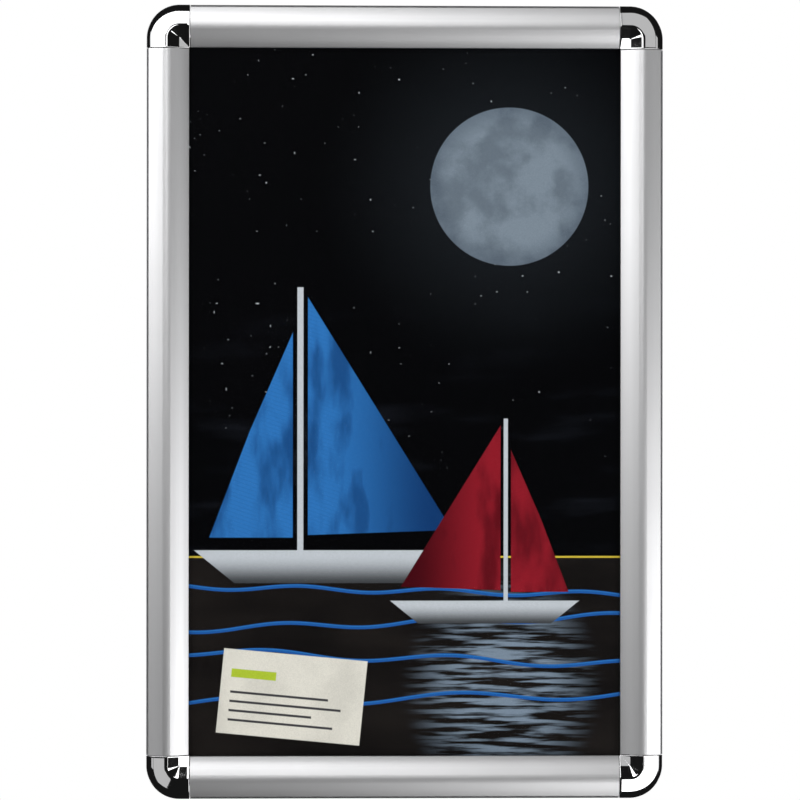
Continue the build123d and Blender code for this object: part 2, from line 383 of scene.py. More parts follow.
@dataclass(frozen=True)
class PlatedSteel(Finish):
    """Zinc-plated or bright spring steel, whose tint comes and goes in soft patches."""

    name: str
    colour: Colour
    tint: Colour
    roughness: float = 0.32
    smear: float = 0.12
    patches: Mottle = Mottle((160.0, 160.0, 160.0), 4.0, 0.4, 0.65)

    def build(self, wear: Tree) -> Material:
        """Makes the material.

        Args:
            wear: the group of smears and specks.

        Returns:
            The material.
        """
        material, graph, shader = self.start(self.name, Metallic=1.0)
        patches = graph.mottle(graph.place(), self.patches)
        graph.feed(shader.inputs["Base Color"], graph.mix(patches, self.colour, self.tint))
        inputs = {"Roughness": self.roughness, "Smear": self.smear}
        made = graph.node("ShaderNodeGroup", inputs, node_tree=wear)
        graph.feed(shader.inputs["Roughness"], made.outputs["Roughness"])
        return material


@dataclass(frozen=True)
class ClearSheet(Finish):
    """A thin anti-glare sheet that hardly veils the print."""

    name: str = "anti_glare_sheet"
    colour: Colour = (0.02, 0.02, 0.022)
    alpha: float = 0.03
    roughness: float = 0.35
    shine: float = 0.3

    def build(self) -> Material:
        """Makes the material with plain values only."""
        plain = {"Base_Color": self.colour, "Alpha": self.alpha, "Roughness": self.roughness}
        return self.start(self.name, Specular_IOR_Level=self.shine, **plain)[0]


@dataclass(frozen=True)
class PanelBoard(Finish):
    """Grey fibre board with a fine tooth and scattered flecks."""

    name: str = "grey_fibre_board"
    colour: Colour = (0.60, 0.59, 0.57)
    fleck: Colour = (0.42, 0.41, 0.39)
    roughness: float = 0.85
    fibre_scales: Triple = (500.0, 500.0, 1400.0)
    fibre_detail: float = 4.0
    flecks: Pair = (0.56, 0.7)
    clouds: Mottle = Mottle((25.0, 25.0, 25.0), 4.0, 0.35, 0.7, 0.0, 0.25)
    tooth: float = 0.08 * MM

    def build(self) -> Material:
        """Makes the material.

        Returns:
            The material.
        """
        material, graph, shader = self.start(self.name, Roughness=self.roughness)
        place = graph.place()
        fibres = graph.grain(place, self.fibre_scales, self.fibre_detail)
        flecks = graph.ramp(fibres, *self.flecks)
        share = graph.math("ADD", flecks, graph.mottle(place, self.clouds))
        graph.feed(shader.inputs["Base Color"], graph.mix(share, self.colour, self.fleck))
        self.bump(graph, shader, fibres, self.tooth)
        return material


@dataclass(frozen=True)
class Wave:
    """A line across the print: its height, swing and length in millimetres, and its slope."""

    height: float
    swing: float = 0.0
    length: float = 100.0
    slope: float = 0.0


class BoatPart(Enum):
    """A convex part of a boat: its corners, in shares of the mainsail's height from the mast's
    foot, clockwise."""

    MAST = ((-0.012, -0.02), (-0.012, 1.04), (0.012, 1.04), (0.012, -0.02))
    JIB = ((-0.36, 0.05), (-0.2, 0.47), (-0.03, 0.86), (-0.03, 0.05))
    MAINSAIL = ((0.03, 0.06), (0.03, 1.0), (0.34, 0.5), (0.6, 0.08))
    HULL = ((-0.42, 0.0), (0.66, 0.0), (0.5, -0.13), (-0.26, -0.13))


@dataclass(frozen=True)
class Boat:
    """A boat on the print: the place of its mast's foot and the height of its mainsail in
    millimetres, 1 or -1 for a mainsail right or left of the mast, and its sails' colours."""

    mast: Pair
    size: float
    lean: int
    lit: Colour
    shaded: Colour

    def outline(self, part: BoatPart) -> Points:
        """A part's corners at the boat's own place and size, kept clockwise.

        Args:
            part: the part.

        Returns:
            The corners in millimetres.
        """
        x, z = self.mast
        width = self.lean * self.size
        placed = [(x + width * across, z + self.size * up) for across, up in part.value]
        return placed if self.lean > 0 else placed[::-1]


class Canvas(Graph):
    """A picture in shader nodes, painted piece over piece. Its lengths are in millimetres."""

    edge: float = 0.25

    def __init__(self, tree: Tree, ground: Colour) -> None:
        """Starts a picture.

        Args:
            tree: the tree that the nodes go into.
            ground: the colour that lies under all of it.
        """
        super().__init__(tree)
        self.spot = self.place()
        self.up = self.dot(self.spot, (0.0, 0.0, 1 / MM))
        self.picture: Paint = ground

    def paint(self, share: Value, colour: Paint) -> None:
        """Lays a colour over the picture, by a share between 0 and 1."""
        self.picture = self.mix(share, self.picture, colour)

    def cut(self, distance: Socket) -> Socket:
        """1 where a distance in metres is above zero, with a soft edge."""
        return self.ramp(distance, -self.edge * MM, self.edge * MM)

    def band(self, distance: Socket, width: float) -> Socket:
        """A line of this width along where a distance in metres is zero."""
        return self.cut(self.math("SUBTRACT", width * MM / 2, self.math("ABSOLUTE", distance)))

    def inside(self, points: Points) -> Socket:
        """The inside of a convex outline.

        Args:
            points: the outline's corners, across and up, clockwise.

        Returns:
            The distance in metres inside the nearest edge: the place's reach along that edge's
            inward direction, less the edge's own.
        """
        nearest: Socket | None = None
        for (x, z), (next_x, next_z) in zip(points, [*points[1:], points[0]]):
            length = float(np.hypot(next_x - x, next_z - z))
            across, up = (next_z - z) / length, -(next_x - x) / length
            reach = self.dot(self.spot, (across, 0.0, up))
            distance = self.math("SUBTRACT", reach, (x * across + z * up) * MM)
            nearest = distance if nearest is None else self.math("MINIMUM", nearest, distance)
        return nearest

    def away(self, middle: Pair, scale: Pair = (1.0, 1.0)) -> Socket:
        """How far places lie from a middle.

        Args:
            middle: the middle, across and up.
            scale: how each direction counts.

        Returns:
            The distance in metres, after scaling.
        """
        offset = self.vector("SUBTRACT", self.spot, (middle[0] * MM, 0.0, middle[1] * MM))
        flat = self.stretch(offset.outputs[0], (scale[0], 0.0, scale[1]))
        return self.vector("LENGTH", flat).outputs["Value"]

    def disc(self, middle: Pair, radius: float) -> Socket:
        """The distance inside a disc in metres: its radius less the distance from its middle."""
        return self.math("SUBTRACT", radius * MM, self.away(middle))

    def above(self, wave: Wave) -> Socket:
        """The distance above a wave.

        Args:
            wave: the wave.

        Returns:
            The distance in metres above a sine on a sloping line.
        """
        across = self.dot(self.spot, (1.0, 0.0, 0.0))
        up = self.dot(self.spot, (-wave.slope, 0.0, 1.0))
        sine = self.math("SINE", self.math("MULTIPLY", across, 2 * np.pi / (wave.length * MM)))
        level = self.math("MULTIPLY_ADD", sine, wave.swing * MM, wave.height * MM)
        return self.math("SUBTRACT", up, level)


@dataclass(frozen=True)
class Harbour:
    """The colours of the night scene, and the places and sizes of what it shows. A fade is where
    something starts and is full, and a light or shade is its share at most."""

    night: Colour = (0.0010, 0.0011, 0.0015)
    deep: Colour = (0.013, 0.011, 0.010)
    cloud: Colour = (0.02, 0.024, 0.034)
    moon: Colour = (0.20, 0.25, 0.30)
    crater: Colour = (0.085, 0.11, 0.14)
    moon_rim: Colour = (0.05, 0.07, 0.10)
    glint: Colour = (0.22, 0.29, 0.37)
    blue: Colour = (0.028, 0.17, 0.48)
    blue_shade: Colour = (0.006, 0.04, 0.15)
    red: Colour = (0.27, 0.012, 0.022)
    red_shade: Colour = (0.055, 0.003, 0.006)
    hull: Colour = (0.52, 0.56, 0.60)
    hull_shade: Colour = (0.05, 0.055, 0.06)
    crest: Colour = (0.015, 0.10, 0.36)
    yellow: Colour = (0.62, 0.47, 0.05)
    cream: Colour = (0.74, 0.72, 0.64)
    crease: Colour = (0.42, 0.41, 0.37)
    lime: Colour = (0.42, 0.55, 0.04)
    ink: Colour = (0.05, 0.05, 0.055)
    horizon: float = -92.0
    horizon_width: float = 1.1
    haze: Mottle = Mottle((12.0, 1.0, 30.0), 4.0, 0.3, 0.75, 0.35)
    moon_middle: Pair = (62.0, 128.0)
    moon_radius: float = 47.0
    moon_patches: Mottle = Mottle((45.0, 45.0, 45.0), 5.0, 0.4, 0.62, 0.0, 0.6)
    rim_width: float = 14.0
    rim_shade: float = 0.45
    glow_radius: float = 120.0
    glow_light: float = 0.05
    sparks: Mottle = Mottle((420.0, 420.0, 420.0), 0.0, 0.83, 0.86)
    spark_fade: Pair = (-60.0, 60.0)
    spark_light: float = 0.8
    drift: Mottle = Mottle((9.0, 1.0, 44.0), 6.0, 0.5, 0.78, 0.0, 0.55)
    drift_fade: Pair = (90.0, -70.0)
    drift_foot: Pair = (-92.5, -90.0)
    pool_middle: Pair = (58.0, -168.0)
    pool_reach: Pair = (62.0, 74.0)
    pool_fade: Pair = (1.0, 0.35)
    pool_light: float = 0.85
    ripples: Mottle = Mottle((26.0, 1.0, 330.0), 4.0, 0.44, 0.6)
    waves: tuple[Wave, ...] = (
        Wave(-112.0, 1.6, 84.0, -0.02),
        Wave(-131.0, 2.0, 96.0, 0.03),
        Wave(-152.0, 2.4, 110.0, -0.03),
        Wave(-176.0, 2.8, 128.0, 0.02),
    )
    wave_width: float = 2.2
    lit_edge: float = 0.5
    lit_edge_height: float = 0.6
    sail_shade: Pair = (0.05, 0.55)
    seam_turns: Pair = (900.0, 2600.0)
    seam_fade: Pair = (0.93, 0.99)
    seam_depth: float = 0.35
    folds: Mottle = Mottle((70.0, 70.0, 22.0), 3.0, 0.38, 0.66, 0.0, 0.75)
    hull_fade: Pair = (-0.13, -0.02)
    creases: Mottle = Mottle((38.0, 38.0, 38.0), 5.0, 0.4, 0.7, 0.0, 0.3)
    tooth: Mottle = Mottle((2200.0, 2200.0, 2200.0), 2.0, 0.3, 0.7, 0.0, 0.12)
    label: Points = ((-112.0, -196.0), (-107.0, -146.0), (-22.0, -154.0), (-27.0, -204.0))
    label_bar: Points = ((-103.0, -163.0), (-102.5, -158.0), (-76.0, -160.5), (-76.5, -165.5))
    rule_start: Pair = (-103.5, -171.0)
    rule_step: Pair = (-0.5, -5.5)
    rule_slope: float = 0.094
    rule_width: float = 1.4
    rule_lengths: tuple[float, ...] = (58.0, 66.0, 49.0, 62.0)


class HarbourPicture(Canvas):
    """The night scene itself: two boats under sail, a pale moon, thin waves and a bare label."""

    def __init__(self, tree: Tree, look: Harbour) -> None:
        """Starts with the night sky all over."""
        super().__init__(tree, look.night)
        self.look = look

    def sea(self) -> None:
        """Dark water with a soft haze below the horizon."""
        look = self.look
        below = self.ramp(self.up, look.horizon, look.horizon - 1.0)
        haze = self.mottle(self.spot, look.haze)
        self.paint(self.math("MULTIPLY", below, haze), look.deep)

    def glow(self) -> None:
        """A faint glow round the moon."""
        look = self.look
        near = self.disc(look.moon_middle, look.glow_radius)
        share = self.ramp(near, 0.0, look.glow_radius * MM, 0.0, look.glow_light)
        self.paint(share, look.moon)

    def stars(self) -> None:
        """Small stars in the upper sky: the tops of fine, nearly hard noise."""
        sparks = self.mottle(self.spot, self.look.sparks)
        high = self.ramp(self.up, *self.look.spark_fade, 0.0, self.look.spark_light)
        self.paint(self.math("MULTIPLY", sparks, high), self.look.hull)

    def moon(self) -> None:
        """A disc with soft dark patches and a dimmer rim."""
        look = self.look
        face = self.mix(self.mottle(self.spot, look.moon_patches), look.moon, look.crater)
        disc = self.disc(look.moon_middle, look.moon_radius)
        rim = self.ramp(disc, 0.0, look.rim_width * MM, look.rim_shade, 0.0)
        self.paint(self.cut(disc), self.mix(rim, face, look.moon_rim))

    def clouds(self) -> None:
        """Thin drifting cloud above the horizon, as stretched noise that fades upward."""
        look = self.look
        drift = self.mottle(self.spot, look.drift)
        share = self.math("MULTIPLY", drift, self.ramp(self.up, *look.drift_fade))
        foot = self.ramp(self.up, *look.drift_foot)
        self.paint(self.math("MULTIPLY", share, foot), look.cloud)

    def pool(self) -> None:
        """Light on the water: an upright oval under the moon, broken by flat ripples."""
        look = self.look
        (across, up), (edge, full) = look.pool_reach, look.pool_fade
        away = self.away(look.pool_middle, (1 / across, 1 / up))
        ripples = self.mottle(self.spot, look.ripples)
        share = self.math("MULTIPLY", self.ramp(away, edge * MM, full * MM), ripples)
        self.paint(self.math("MULTIPLY", share, look.pool_light), look.glint)

    def crests(self) -> None:
        """The waves, each with a bright upper edge, and the horizon."""
        look = self.look
        for wave in look.waves:
            distance = self.above(wave)
            self.paint(self.band(distance, look.wave_width), look.crest)
            upper = self.math("SUBTRACT", distance, look.lit_edge_height * MM)
            self.paint(self.band(upper, look.lit_edge), look.blue)
        distance = self.above(Wave(look.horizon))
        self.paint(self.band(distance, look.horizon_width), look.yellow)

    def boat(self, boat: Boat) -> None:
        """Mast, sails and hull of one boat, with seams and folds in the sails.

        Args:
            boat: the boat.
        """
        look, (x, z) = self.look, boat.mast
        reach = self.dot(self.spot, (boat.lean / (boat.size * MM), 0.0, 0.0))
        reach = self.math("SUBTRACT", reach, boat.lean * x / boat.size)
        across, up = look.seam_turns
        seams = self.math("SINE", self.dot(self.spot, (across * boat.lean, 0.0, up)))
        seams = self.ramp(seams, *look.seam_fade, 0.0, look.seam_depth)
        marks = self.math("MAXIMUM", self.mottle(self.spot, look.folds), seams)
        shade = self.math("MAXIMUM", self.ramp(reach, *look.sail_shade), marks)
        keel, deck = (z + share * boat.size for share in look.hull_fade)
        side = self.mix(self.ramp(self.up, keel, deck), look.hull_shade, look.hull)
        for part, paint in (
            (BoatPart.MAST, look.hull),
            (BoatPart.JIB, self.mix(marks, boat.lit, boat.shaded)),
            (BoatPart.MAINSAIL, self.mix(shade, boat.lit, boat.shaded)),
            (BoatPart.HULL, side),
        ):
            self.paint(self.cut(self.inside(boat.outline(part))), paint)

    def label(self) -> None:
        """A creased paper label with a lime bar and four grey rules, and no words."""
        look = self.look
        paper = self.mix(self.mottle(self.spot, look.creases), look.cream, look.crease)
        self.paint(self.cut(self.inside(look.label)), paper)
        self.paint(self.cut(self.inside(look.label_bar)), look.lime)
        (x, z), (across, up), width = look.rule_start, look.rule_step, look.rule_width
        for row, length in enumerate(look.rule_lengths):
            left, high = x + across * row, z + up * row
            right, end = left + length, high - look.rule_slope * length
            rule = [(left, high - width), (left, high), (right, end), (right, end - width)]
            self.paint(self.cut(self.inside(rule)), look.ink)

    def tooth(self) -> None:
        """The fine grain of the print, over all of it."""
        self.paint(self.mottle(self.spot, self.look.tooth), self.look.night)

    def finish(self) -> Paint:
        """Paints everything, from the back to the front.

        Returns:
            The whole picture.
        """
        look = self.look
        layers = (self.sea, self.glow, self.stars, self.moon, self.clouds, self.pool, self.crests)
        for layer in layers:
            layer()
        self.boat(Boat((-62.0, -88.0), 150.0, 1, look.blue, look.blue_shade))
        self.boat(Boat((60.0, -118.0), 104.0, -1, look.red, look.red_shade))
        self.label()
        self.tooth()
        return self.picture


@dataclass(frozen=True)
class HarbourPrint(Finish):
    """Uncoated paper with the night scene printed on it."""

    name: str = "harbour_print"
    roughness: float = 0.6
    look: Harbour = Harbour()

    def build(self) -> Material:
        """Makes the material.

        Returns:
            The material.
        """
        plain = {"Roughness": self.roughness, "Specular_IOR_Level": 0.0}
        material, graph, shader = self.start(self.name, **plain)
        picture = HarbourPicture(graph.tree, self.look).finish()
        graph.feed(shader.inputs["Base Color"], picture)
        return material


def add_object(name: str, data: bpy.types.ID) -> Thing:
    """Makes an object round its data.

    Args:
        name: the object's name.
        data: its mesh, lamp or camera.

    Returns:
        The object, in the scene.
    """
    made = bpy.data.objects.new(name, data)
    bpy.context.scene.collection.objects.link(made)
    return made


def add_square(name: str, corners: Sequence[Triple], finish: Material) -> Thing:
    """Makes a square piece of the stage.

    Args:
        name: its name.
        corners: its corners in metres, in turn.
        finish: its material.

    Returns:
        The object.
    """
    mesh = bpy.data.meshes.new(name)
    mesh.from_pydata(corners, [], [(0, 1, 2, 3)])
    mesh.materials.append(finish)
    made = add_object(name, mesh)
    return made


def add_piece(name: str, corners: np.ndarray, faces: np.ndarray, finish: Material) -> Thing:
    """Makes one mesh object at the origin.

    Args:
        name: the piece's name.
        corners: its vertices in metres, one to a row.
        faces: its faces as rows of vertex numbers.
        finish: its material.

    Returns:
        The object, shaded smooth, with doubles merged and its faces turned the same way.
    """
    mesh = bpy.data.meshes.new(name)
    mesh.from_pydata(corners.tolist(), [], faces.tolist())
    form = bmesh.new()
    form.from_mesh(mesh)
    bmesh.ops.remove_doubles(form, verts=form.verts, dist=MERGE_DISTANCE)
    bmesh.ops.dissolve_degenerate(form, edges=form.edges, dist=MERGE_DISTANCE)
    bmesh.ops.recalc_face_normals(form, faces=form.faces)
    form.to_mesh(mesh)
    form.free()
    mesh.shade_smooth()
    mesh.materials.append(finish)
    return add_object(name, mesh)


def grid_faces(rows: int, columns: int) -> np.ndarray:
    """The squares between neighbours on a grid whose vertices are counted row by row."""
    first = (np.arange(rows - 1)[:, None] * columns + np.arange(columns - 1)[None, :]).ravel()
    return np.stack([first, first + 1, first + columns + 1, first + columns], axis=1)


def rounded_line(points: Points, radii: Sequence[float], steps: int) -> np.ndarray:
    """A line through points, with its bends rounded.

    Args:
        points: the line's ends and bends.
        radii: the radius at each bend.
        steps: how many places each arc and each straight stretch gets.

    Returns:
        Places along the line. An arc starts and ends where the radius times the tangent of half the
        turn is left to the bend, and its middle lies one radius to the inside of its start.
    """
    marks = np.array(points)
    places = [marks[:1]]
    for before, bend, after, radius in zip(marks, marks[1:], marks[2:], radii):
        come, leave = (step / np.hypot(*step) for step in (bend - before, after - bend))
        turn = np.arctan2(come[0] * leave[1] - come[1] * leave[0], come @ leave)
        start = bend - come * radius * np.tan(abs(turn) / 2)
        side = np.sign(turn) * np.array([-come[1], come[0]])
        angle = np.linspace(0.0, abs(turn), steps)[:, None]
        arc = start + radius * (side * (1 - np.cos(angle)) + come * np.sin(angle))
        share = np.linspace(0.0, 1.0, steps)[1:-1, None]
        places += [places[-1][-1] * (1 - share) + start * share, arc]
    share = np.linspace(0.0, 1.0, steps)[1:, None]
    return np.concatenate([*places, places[-1][-1] * (1 - share) + marks[-1] * share])


@dataclass
class CornerCap:
    """A plated corner cap: a smooth skin round the corner, closed down at its two ends.

    The skin is a profile, as inset and height, carried along a path at each inset: straight along
    one arm, round the corner and straight along the other arm.
    """

    corner: Corner
    half_width: float
    half_height: float
    proud: float = 0.45
    reach: float = 25.65
    corner_radius: float = 19.6
    rim: Pair = (-0.45, 9.45)
    ridge: Pair = (12.0, 12.8)
    knee: Pair = (19.4, 10.3)
    tip_height: float = 6.8
    rim_radius: float = 7.0
    ridge_radius: float = 4.0
    knee_radius: float = 1.5
    crease_radius: float = 0.5
    end_radius: float = 0.35
    wall: float = 1.5
    skirt: float = 3.7
    window_inset: float = 7.0
    post_width: float = 6.0
    post_inset: float = 13.6
    post_foot: float = 2.8
    post_top: float = 10.4
    post_round: float = 0.6
    post_squareness: float = 8.0
    pilot_radius: float = 1.5
    pilot_depth: float = 1.0
    profile_steps: int = 10
    fold_steps: int = 5
    wall_steps: int = 3
    arm_steps: int = 5
    arc_steps: int = 17
    post_steps: int = 65

    def placed(self, first: np.ndarray, second: np.ndarray, level: np.ndarray) -> np.ndarray:
        """Puts places into the frame.

        Args:
            first: insets from the left or right side.
            second: insets from the top or bottom.
            level: heights above the wall.

        Returns:
            The places in metres, one to a row.
        """
        across, up = self.corner.value
        places = [across * (self.half_width - first), -level, up * (self.half_height - second)]
        return np.stack(places, -1).reshape(-1, 3) * MM

    def foot(self, fold_height: np.ndarray) -> tuple[np.ndarray, np.ndarray]:
        """Where the wall at the end of an arm starts: low outside, and higher over the rail.

        Args:
            fold_height: the height of the wall's upper edge, by profile row.

        Returns:
            Insets and heights of its lower edge, with a step up to the skirt round the window.
        """
        share = np.linspace(0.0, 1.0, fold_height.size)
        window, step = 0.3, (0.28, 0.32)
        inset = np.interp(share, (0.0, window, 1.0), (0.0, self.window_inset, self.reach))
        height = np.interp(share, step, (0.0, self.skirt))
        return inset[:, None], np.minimum(height[:, None], fold_height)

    def arm(self, profile: np.ndarray) -> tuple[np.ndarray, ...]:
        """Half of the skin, from one end to the middle of the rounded corner.

        Args:
            profile: rows of inset and height.

        Returns:
            Insets along and across the arm and heights, by profile row and path column. The
            columns go up the end's wall, round its edge, along the arm and round an arc, whose
            radius is what is left of the corner's at the inset, never less than the crease's.
        """
        inset, height = profile[:, :1], profile[:, 1:]
        left = self.corner_radius - inset
        edge = np.clip(self.reach - inset, 0.0, self.end_radius)
        end = self.reach - edge
        radius = (left + np.sqrt(left**2 + 4 * self.crease_radius**2)) / 2
        radius = np.minimum(radius, end - inset)
        slope = np.gradient(profile, axis=0)
        normal = np.stack([-slope[:, 1], slope[:, 0]], 1)
        normal /= np.hypot(slope[:, 0], slope[:, 1])[:, None]
        turn = np.linspace(0.0, np.pi / 2, self.fold_steps, endpoint=False)[None, :]
        sunk = edge * (1 - np.sin(turn))
        fold_inset = inset - normal[:, :1] * sunk
        fold_height = height - normal[:, 1:] * sunk
        fold_along = end + edge * np.cos(turn)
        floor_inset, floor_height = self.foot(fold_height[:, :1])
        climb = np.linspace(0.0, 1.0, self.wall_steps, endpoint=False)[None, :]
        wall_inset = floor_inset + (fold_inset[:, :1] - floor_inset) * climb
        wall_height = floor_height + (fold_height[:, :1] - floor_height) * climb
        stretch = np.linspace(0.0, 1.0, self.arm_steps, endpoint=False)[None, :]
        angle = np.linspace(0.0, np.pi / 4, self.arc_steps)[None, :]
        bend = inset + radius
        along = [np.full_like(wall_inset, self.reach), fold_along]
        along += [end + (bend - end) * stretch, bend - radius * np.sin(angle)]
        across = [wall_inset, fold_inset, np.repeat(inset, stretch.size, 1)]
        across += [bend - radius * np.cos(angle)]
        level = [wall_height, fold_height, np.repeat(height, stretch.size + angle.size, 1)]
        return tuple(np.concatenate(stretches, 1) for stretches in (along, across, level))

    def skin(self, finish: Material) -> Thing:
        """Makes the skin and its wall: two arms, the second mirrored at the mitre.

        Args:
            finish: the plating.

        Returns:
            The skin.
        """
        marks = [(-self.proud, 0.0), self.rim, self.ridge, self.knee, (self.reach, self.tip_height)]
        radii = (self.rim_radius, self.ridge_radius, self.knee_radius)
        along, across, level = self.arm(rounded_line(marks, radii, self.profile_steps))
        first = np.concatenate([across, along[:, -2::-1]], 1)
        second = np.concatenate([along, across[:, -2::-1]], 1)
        level = np.concatenate([level, level[:, -2::-1]], 1)
        corners = self.placed(first, second, level)
        faces = grid_faces(*first.shape)
        cap = add_piece(f"{self.corner.label}_cap_skin", corners, faces, finish)
        turned_in = sum(face.normal.y * face.area for face in cap.data.polygons) > 0
        if turned_in:
            cap.data.flip_normals()
        wall = cap.modifiers.new("wall", "SOLIDIFY")
        wall.thickness = self.wall * MM
        wall.offset = -1.0
        return cap

    def post(self, finish: Material) -> Thing:
        """Makes the square post that the cap's screw goes into.

        Args:
            finish: the plating.

        Returns:
            The post, a square with rounded corners round a pilot hole.
        """
        angle = np.linspace(0.0, 2 * np.pi, self.post_steps)
        half, power = self.post_width / 2, self.post_squareness
        reach = np.abs(np.cos(angle)) ** power + np.abs(np.sin(angle)) ** power
        square = half / reach ** (1 / power)
        edge, shoulder = self.post_round, 0.3 * self.post_round
        top, foot = self.post_top, self.post_foot
        roof = top - self.pilot_depth
        middle, hole = np.zeros_like(angle), np.full_like(angle, self.pilot_radius)
        radii = [middle, hole, hole, square - edge, square - shoulder, square, square, middle]
        levels = np.array([roof, roof, foot, foot, foot + shoulder, foot + edge, top, top])
        radii, levels = np.stack(radii), np.repeat(levels[:, None], self.post_steps, 1)
        first = self.post_inset + radii * np.cos(angle)
        second = self.post_inset + radii * np.sin(angle)
        corners = self.placed(first, second, levels)
        faces = grid_faces(*first.shape)
        return add_piece(f"{self.corner.label}_cap_post", corners, faces, finish)

    def build(self, finish: Material) -> None:
        """Makes both pieces, which stand for the cap's node.

        Args:
            finish: the plating.
        """
        for piece in (self.skin(finish), self.post(finish)):
            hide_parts(f"{self.corner.label}_corner_cap")
            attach(piece, "frame")


def dress(nodes: Sequence[str], finish: Material) -> None:
    """Puts a material in the slot of each of these CAD pieces."""
    for name in nodes:
        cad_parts[name].data.materials[0] = finish


@dataclass(frozen=True)
class Rails:
    """The base and snap rails with their springs, brackets and screws."""

    base_tones: tuple[Colour, Colour] = ((0.71, 0.72, 0.73), (0.67, 0.68, 0.69))
    base_roughness: float = 0.42
    spring: PlatedSteel = PlatedSteel("spring_strip", (0.42, 0.43, 0.45), (0.30, 0.31, 0.34), 0.25)
    zinc: PlatedSteel = PlatedSteel("zinc_plated_bracket", (0.62, 0.63, 0.64), (0.52, 0.54, 0.58))
    screw: PlatedSteel = PlatedSteel("zinc_plated_screw", (0.55, 0.55, 0.56), (0.45, 0.46, 0.48))

    def build(self, wear: Tree) -> None:
        """Dresses every metal piece of the frame.

        Args:
            wear: the group of smears and specks.
        """
        for run in ("X", "Z"):
            grain = extrusion_grain(run)
            snap = Anodised(f"satin_anodised_{run.lower()}")
            base = Anodised(f"plain_anodised_{run.lower()}", self.base_tones, self.base_roughness)
            sides = [side.label for side in Side if side.run == run]
            dress([f"{side}_snap_rail" for side in sides], snap.build(grain))
            dress([f"{side}_base_rail" for side in sides], base.build(grain))
            log.info("rails along %s dressed: %s", run, ", ".join(sides))
        dress([f"{side.label}_springs" for side in Side], self.spring.build(wear))
        dress([f"{corner.label}_corner_bracket" for corner in Corner], self.zinc.build(wear))
        dress(["cap_screws", "bracket_grub_screws"], self.screw.build(wear))
        log.info("springs, brackets and screws dressed")


class Insert:
    """What the frame holds: the back panel, the print and the clear sheet."""

    def build(self) -> None:
        """Dresses the three layers."""
        dress(["clear_front_sheet"], ClearSheet().build())
        dress(["poster"], HarbourPrint().build())
        dress(["back_panel"], PanelBoard().build())
        log.info("sheet, print and panel dressed")


@dataclass(frozen=True)
class Panel:
    """A rectangle in the studio that faces the wall: its left, right, low and high edges."""

    name: str
    left: float
    right: float
    low: float
    high: float

    @property
    def size(self) -> Pair:
        """Its width and height."""
        return self.right - self.left, self.high - self.low

    @property
    def middle(self) -> Pair:
        """The place of its middle, across and up."""
        return (self.left + self.right) / 2, (self.low + self.high) / 2


@dataclass(frozen=True)
class Card:
    """A flat card in the studio that only the object's reflections see: its middle, the way it
    faces, its size and how bright it is."""

    name: str
    middle: Triple
    facing: Triple
    size: Pair
    level: float


